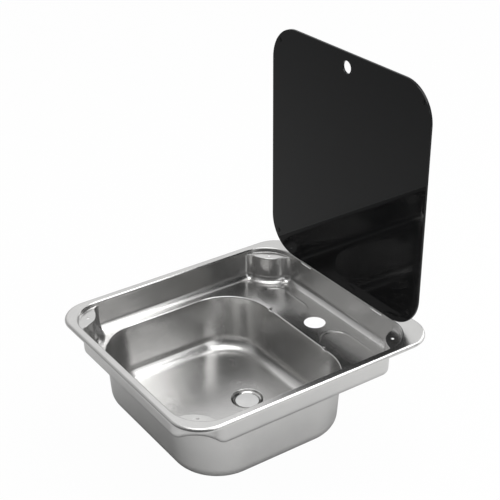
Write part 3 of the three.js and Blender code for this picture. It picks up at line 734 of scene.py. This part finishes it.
def eased(node, width):
    """The node's own solid with its flats merged and its sharp edges broken."""
    body = bmesh.new()
    body.from_mesh(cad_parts[node].data)
    bmesh.ops.remove_doubles(body, verts=body.verts, dist=1e-6)
    bmesh.ops.dissolve_limit(
        body, angle_limit=math.radians(1), verts=body.verts, edges=body.edges,
    )
    edges = [
        e for e in body.edges
        if len(e.link_faces) == 2 and e.calc_face_angle() > math.radians(35)
    ]
    bmesh.ops.bevel(
        body, geom=edges, offset=width * MM, segments=2, profile=0.5, affect="EDGES",
        clamp_overlap=True,
    )
    mesh = bpy.data.meshes.new(node)
    body.to_mesh(mesh)
    body.free()
    return mesh


def hinge_piece(node, name, body, width):
    """Shows a node's own solid in satin steel, with its edges broken by this width."""
    smooth(shown(name, eased(node, width), satin, body, [node]), 30)


for side in ("left", "right"):
    hinge_piece(f"hinge_leaf_{side}", f"leaf_{side}", "lid", LEAF_EDGE)
    for part in (f"pin_{side}", f"washer_{side}_a", f"washer_{side}_b", f"bracket_{side}"):
        hinge_piece(f"hinge_{part}", f"hinge_{part}_bright", "sink", SMALL_EDGE)

# ---------------------------------------------------------------- bracket studs
# Two threaded stainless studs for each bracket are welded to the underside of the flange. A
# washer and a nut on each of them clamp the bracket to the sheet.
STUD = (2.0, -2.4, 4.65)               # radius, lower end, weld
STUD_X = (-102.0, -78.0, 78.0, 102.0)
STUD_Y = 204.05
STUD_CHAMFER = 0.4
STUD_THREAD = (-1.6, 2.4, 0.7, 0.25)   # from, to, pitch, depth
WELD = (0.3, 0.25)                     # height and width of the weld's collar

radius, foot, weld = STUD
start, end, pitch, depth = STUD_THREAD
weld_height, weld_width = WELD
stud_profile = [(0.0, foot), (radius - STUD_CHAMFER, foot), (radius, foot + STUD_CHAMFER)]
for z in np.arange(start, end, pitch):
    stud_profile += [(radius, z), (radius - depth, z + 0.3), (radius, z + 0.6)]
stud_profile += [(radius, weld - weld_height), (radius + weld_width, weld), (0.0, weld)]
for i, x in enumerate(STUD_X, 1):
    stud = turned(stud_profile, 32)
    stud.transform(Matrix.Translation(Vector((x, STUD_Y, 0)) * MM))
    smooth(shown(f"bracket_stud_{i}", stud, steel, "sink", ["sink_pressing"]), 30)
    for part in (f"bracket_washer_{i}", f"bracket_nut_{i}"):
        hinge_piece(part, part + "_bright", "sink", SMALL_EDGE)

# ---------------------------------------------------------------- waste
# The waste screws together through the drain hole: a polished insert on its rubber seal, a seal
# and a plastic back nut below, then the hose spigot, held by a ribbed union nut. The pale plug
# drops into the insert on a rubber ring. Heights count from the flat floor of the drain's seat.
THREAD = 19.8                          # outer radius of the insert's thread
THREAD_DEPTH = 0.7
THREAD_FOOT = -21.6
THREAD_PITCH = 1.6
THREAD_TURNS = 9
ON_THREAD = THREAD + 0.3               # bore of what goes over the thread
THROAT = 16.0                          # bore of the insert
INSERT_FOOT = -22.8
INSERT_RIM = [(THREAD, -6.9), (THREAD, 0.8), (22.9, 0.8), (22.9, 2.8), (19.1, 1.2), (19.1, -0.8)]
CROSS = (-11.8, -8.8)                  # foot and top of the cross in the insert's throat
CROSS_HUB = (2.3, 4.2)                 # bore and outer radius
CROSS_ARMS = (3, 2.0)                  # how many, and how wide
UPPER_SEAL = (ON_THREAD, 22.6, 0.1, 0.7)  # bore, outer radius, foot and top
LOWER_SEAL = (ON_THREAD, 25.5, -2.7, -0.9)
UNION_SEAL = (THROAT, 19.5, -24.1, -22.9)
PLUG_RING = (12.9, 15.7, -2.5, -1.1)
BACK_NUT = (ON_THREAD, 25.5, -10.8, -2.8)
BACK_NUT_LUGS = (6, 5.0)
UNION_NUT = (14.8, 23.4, -29.2, -14.2)
UNION_NUT_RIBS = (12, 2.4)
UNION_SHOULDER = -26.6                 # top of the lip that carries the spigot's collar
PLUG = [  # radius, height
    (0.0, 0.9), (17.9, 0.9), (18.5, 0.75), (18.75, 0.45), (18.8, 0.1), (18.7, -0.4), (18.3, -0.5),
    (12.8, -0.5), (12.8, -2.6), (14.6, -2.6), (14.8, -2.8), (14.8, -3.6), (14.6, -3.8),
    (2.3, -3.8), (2.0, -4.1), (2.0, -20.1), (1.6, -20.5), (0.0, -20.5),
]
HOSE = 12.5                            # outer radius of the spigot for the hose
HOSE_BORE = 9.5
SPIGOT_FOOT = -60.2
BARB_FEET = (-58.7, -53.7, -48.7)
BARB_WIDTH = 1.1                       # how far each barb stands out
COLLAR = [
    (HOSE, -30.2), (HOSE + 2, -28.2), (HOSE + 2, -26.3), (THREAD, -26.3), (THREAD, -24.2),
    (THROAT, -24.2), (HOSE_BORE, -30.2),
]
SEAL_ROUND, INSERT_ROUND, SMALL_ROUND, NUT_ROUND = 0.15, 0.15, 0.25, 0.5  # rounding of edges

bright = stainless("bright_drain_steel", 0.2)
black, shader, place = finish("black_plastic", Roughness=0.5)
mould = place.node("ShaderNodeTexNoise", Vector=place, Scale=500.0, Detail=4.0)
dark = place.node("ShaderNodeValToRGB", {"stops": [(0.3, 0.018), (0.7, 0.03)]}, Fac=mould)
pits = place.node("ShaderNodeBump", Strength=0.15, Distance=0.0003, Height=mould)
drive(shader, Base_Color=dark, Roughness=0.42 + mould * 0.15, Normal=pits)
rubber, shader, place = finish("black_rubber", Roughness=0.8)
dust = place.node("ShaderNodeTexNoise", Vector=place, Scale=300.0, Detail=4.0)
shade = place.node("ShaderNodeValToRGB", {"stops": [(0.3, 0.012), (0.7, 0.024)]}, Fac=dust)
drive(shader, Base_Color=shade, Roughness=0.7 + dust * 0.2)
pale, shader, place = finish("pale_plug", Roughness=0.35)
milk = place.node("ShaderNodeTexNoise", Vector=place, Scale=60.0, Detail=3.0)
soft = place.node(
    "ShaderNodeValToRGB", {"stops": [(0.3, (0.88, 0.88, 0.875)), (0.7, (0.93, 0.93, 0.925))]},
    Fac=milk,
)
drive(shader, Base_Color=soft, Roughness=0.3 + milk * 0.12)


def rounded(profile, radius):
    """Rounds the corners of a closed profile; points on the axis stay."""
    points = [np.array(p, float) for p in profile]
    made = []
    for before, here, after in zip(points[-1:] + points[:-1], points, points[1:] + points[:1]):
        if here[0] == 0:
            made.append(tuple(here))
            continue
        ways = [(other - here, np.linalg.norm(other - here)) for other in (before, after)]
        start, end = (here + way * min(radius / far, 0.4) for way, far in ways)
        for t in (0, 0.5, 1):
            made.append(tuple((1 - t) ** 2 * start + 2 * t * (1 - t) * here + t * t * end))
    return made


def ring(inner, outer, low, high, radius, steps=96):
    """A turned ring of plain section with rounded edges."""
    section = [(inner, low), (outer, low), (outer, high), (inner, high)]
    return turned(rounded(section, radius), steps, True)


def join(mesh, part):
    """Adds a loose part to a mesh."""
    body = bmesh.new()
    body.from_mesh(mesh)
    body.from_mesh(part)
    body.to_mesh(mesh)
    body.free()
    bpy.data.meshes.remove(part)


def blocks_round(mesh, count, width, inner, outer, low, high, turn=0.0):
    """Adds a ring of round-edged blocks to a turned mesh, such as the lugs of a nut."""
    size = Matrix.Diagonal((outer - inner, width, high - low, 1))
    middle = Matrix.Translation(((inner + outer) / 2, 0, (low + high) / 2))
    for i in range(count):
        block = bmesh.new()
        bmesh.ops.create_cube(block, size=1, matrix=middle @ size)
        bmesh.ops.bevel(
            block, geom=block.edges, offset=2 * SMALL_ROUND, segments=3, profile=0.5,
            affect="EDGES",
        )
        around = Matrix.Rotation(2 * math.pi * i / count + turn, 4, "Z")
        block.transform(around @ Matrix.Scale(MM, 4))
        part = bpy.data.meshes.new("block")
        block.to_mesh(part)
        block.free()
        join(mesh, part)


def at_drain(node, material, body, mesh):
    """Fixes a piece in its place round the drain."""
    mesh.transform(Matrix.Translation(Vector((*DRAIN, drain_floor + FLANGE_TOP)) * MM))
    smooth(shown(node + "_made", mesh, material, body, [node]), 30)


for node, body, sizes in [
    ("waste_upper_seal", "sink", UPPER_SEAL), ("waste_lower_seal", "sink", LOWER_SEAL),
    ("waste_union_seal", "sink", UNION_SEAL), ("waste_plug_ring", "plug", PLUG_RING),
]:
    at_drain(node, rubber, body, ring(*sizes, SEAL_ROUND))

# The insert, with its moulded thread up to the back nut's place and a cross in its throat.
insert_profile = [(THROAT, INSERT_FOOT), (THREAD - 1.0, INSERT_FOOT)]
root = THREAD - THREAD_DEPTH
for k in range(THREAD_TURNS):
    z = THREAD_FOOT + THREAD_PITCH * k
    insert_profile += [(root, z), (THREAD, z + 0.6), (THREAD, z + 0.9), (root, z + 1.5)]
insert_profile += INSERT_RIM + [(THROAT, -0.8)]
insert = turned(rounded(insert_profile, INSERT_ROUND), 96, True)
blocks_round(insert, *CROSS_ARMS, CROSS_HUB[1] - 1.0, THROAT + 0.5, *CROSS, turn=math.pi / 2)
join(insert, ring(*CROSS_HUB, *CROSS, SMALL_ROUND, 48))
at_drain("waste_insert", bright, "sink", insert)

_, reach, low, high = BACK_NUT
back_nut = ring(*BACK_NUT, NUT_ROUND)
blocks_round(back_nut, *BACK_NUT_LUGS, reach - 1.0, reach + 2.4, low, high - 1.0)
at_drain("waste_back_nut", black, "sink", back_nut)

at_drain("waste_plug", pale, "plug", turned(PLUG, 96))

throat, reach, low, high = UNION_NUT
union_nut = turned(rounded([
    (throat, low), (reach, low), (reach, high), (ON_THREAD, high), (ON_THREAD, UNION_SHOULDER),
    (throat, UNION_SHOULDER),
], NUT_ROUND), 96, True)
blocks_round(union_nut, *UNION_NUT_RIBS, reach - 0.8, reach + 1.0, low + 1.0, high - 1.0)
at_drain("waste_union_nut", black, "sink", union_nut)

spigot_profile = [(HOSE_BORE, SPIGOT_FOOT), (HOSE - 0.6, SPIGOT_FOOT)]
for z in BARB_FEET:
    spigot_profile += [(HOSE, z), (HOSE + BARB_WIDTH, z + 3.6), (HOSE, z + 3.8)]
spigot = turned(rounded(spigot_profile + COLLAR, SMALL_ROUND), 96, True)
at_drain("waste_hose_spigot", black, "sink", spigot)

# ---------------------------------------------------------------- room
# A pale floor in a studio that is white behind the sink and falls off evenly to the dim side
# where the camera stands, with five large soft lamps. Metal and glass mirror that studio.
FLOOR_SIZE = 12.0
FLOOR_GAP = 0.0005                     # the floor lies just under the hose spigot
FLOOR_SHADE = 0.8
PAINTED_SHADOW_REACH = 0.3                # painted shadow: the floor's own colour is darkened this near to the sink
FLOOR_WHITE = 0.98                     # how much of the plain white the camera sees there,
FLOOR_MIRRORED = 0.05                  # and how much metal and glass see
STUDIO_LIGHT = 0.35                    # what the studio gives to matt surfaces
WHITE_SIDE = Vector((-0.66, 0.37, 0.65))
STUDIO = [                             # from the dim side to the white one
    (0.0, 0.15), (0.3, 0.10), (0.5, 0.15), (0.7, 0.46), (0.85, 0.58), (0.93, 0.75), (1.0, 1.0),
]
WHITE = (1, 1, 1, 1)
LAMPS = {                              # place, size, watts
    "overhead": ((-0.1, 0.2, 2.4), (1.6, 1.6), 20),
    "rear_right": ((0.7, 0.9, 1.65), (1.2, 1.2), 15),
    "rear": ((0.3, 2.1, 0.75), (2.2, 1.5), 13),
    "right": ((1.5, 0.5, 1.2), (1.2, 1.2), 6),
    "low_right": ((1.8, 0.95, 0.45), (1.2, 1.0), 2.5),
}


def rays(tree):
    """One for a ray from the camera, off a mirror or through glass, and zero for any other."""
    return [
        make_node(tree, "ShaderNodeLightPath", {"out": f"Is {kind} Ray"})
        for kind in ("Camera", "Glossy", "Transmission")
    ]


far, low = FLOOR_SIZE / 2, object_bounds()[0][2] - FLOOR_GAP
floor_mesh = bpy.data.meshes.new("floor")
floor_mesh.from_pydata(
    [(-far, -far, low), (far, -far, low), (far, far, low), (-far, far, low)], [], [(0, 1, 2, 3)],
)
floor = bpy.data.objects.new("floor", floor_mesh)
bpy.context.scene.collection.objects.link(floor)
paper = bpy.data.materials.new("pale_floor")
paper.use_nodes = True
tree = paper.node_tree
# Painted shadow: an occlusion node darkens the floor's colour near the sink, deeper than the
# lamps' own shadow, and metal mirrors it.
painted_shadow_near_sink = make_node(
    tree, "ShaderNodeAmbientOcclusion", {"samples": 8, "out": "AO"}, Distance=PAINTED_SHADOW_REACH,
)
matt = make_node(tree, "ShaderNodeBsdfDiffuse", Color=painted_shadow_near_sink * FLOOR_SHADE)
glow = make_node(tree, "ShaderNodeEmission", Color=WHITE, Strength=1.0)
camera_ray, glossy_ray, clear_ray = rays(tree)
white_share = camera_ray * FLOOR_WHITE + (glossy_ray + clear_ray) * FLOOR_MIRRORED
mixed = make_node(tree, "ShaderNodeMixShader", i0=white_share, i1=matt, i2=glow)
tree.links.new(mixed.socket, tree.nodes["Material Output"].inputs["Surface"])
floor_mesh.materials.append(paper)

world = bpy.data.worlds.new("surround")
world.use_nodes = True
bpy.context.scene.world = world
tree = world.node_tree
camera_ray, glossy_ray, clear_ray = rays(tree)
toward = make_node(tree, "ShaderNodeTexCoord", {"out": "Generated"})
facing = make_node(
    tree, "ShaderNodeVectorMath", {"operation": "DOT_PRODUCT", "out": "Value"},
    i0=toward, i1=WHITE_SIDE,
)
studio = make_node(tree, "ShaderNodeValToRGB", {"stops": STUDIO}, Fac=facing * 0.5 + 0.5)
mirrored = glossy_ray + clear_ray
strength = camera_ray + mirrored * studio + (1.0 - camera_ray - mirrored) * STUDIO_LIGHT
surround = tree.nodes["Background"]
surround.inputs["Color"].default_value = WHITE
tree.links.new(strength.socket, surround.inputs["Strength"])

for name, (place, size, power) in LAMPS.items():
    light = bpy.data.lights.new(name, "AREA")
    light.shape = "RECTANGLE"
    light.size, light.size_y = size
    light.energy = power
    lamp = bpy.data.objects.new(name, light)
    bpy.context.scene.collection.objects.link(lamp)
    lamp.location = place
    lamp.rotation_euler = (-Vector(place)).to_track_quat("-Z", "Y").to_euler()

# ---------------------------------------------------------------- camera
# The photograph's view: from the right front, about 31 degrees above the worktop. The picture's
# optical centre isn't its middle, so the lens is shifted by a little.
AZIMUTH, ELEVATION, ROLL = (math.radians(a) for a in (57.1757, 30.6484, -1.4075))
STAND = (1.260794, -0.853793, 0.959745)
FRAME_PIXELS = 500
FOCAL_PIXELS = 1167.19
CENTRE = (219.171, 293.737)            # optical centre, in pixels from the upper left corner
SENSOR = 36

back = Vector((
    math.sin(AZIMUTH) * math.cos(ELEVATION), -math.cos(AZIMUTH) * math.cos(ELEVATION),
    math.sin(ELEVATION),
))
right = Vector((math.cos(AZIMUTH), math.sin(AZIMUTH), 0))
up = back.cross(right)
tilted_right = math.cos(ROLL) * right + math.sin(ROLL) * up
tilted_up = math.cos(ROLL) * up - math.sin(ROLL) * right
lens = bpy.data.cameras.new("camera")
lens.sensor_width = SENSOR
lens.lens = FOCAL_PIXELS * SENSOR / FRAME_PIXELS
lens.shift_x = (FRAME_PIXELS / 2 - CENTRE[0]) / FRAME_PIXELS
lens.shift_y = (CENTRE[1] - FRAME_PIXELS / 2) / FRAME_PIXELS
camera = bpy.data.objects.new("camera", lens)
bpy.context.scene.collection.objects.link(camera)
turn = Matrix((tilted_right, tilted_up, back)).transposed().to_4x4()
camera.matrix_world = Matrix.Translation(STAND) @ turn
bpy.context.scene.camera = camera
bpy.context.scene.view_settings.view_transform = "Standard"
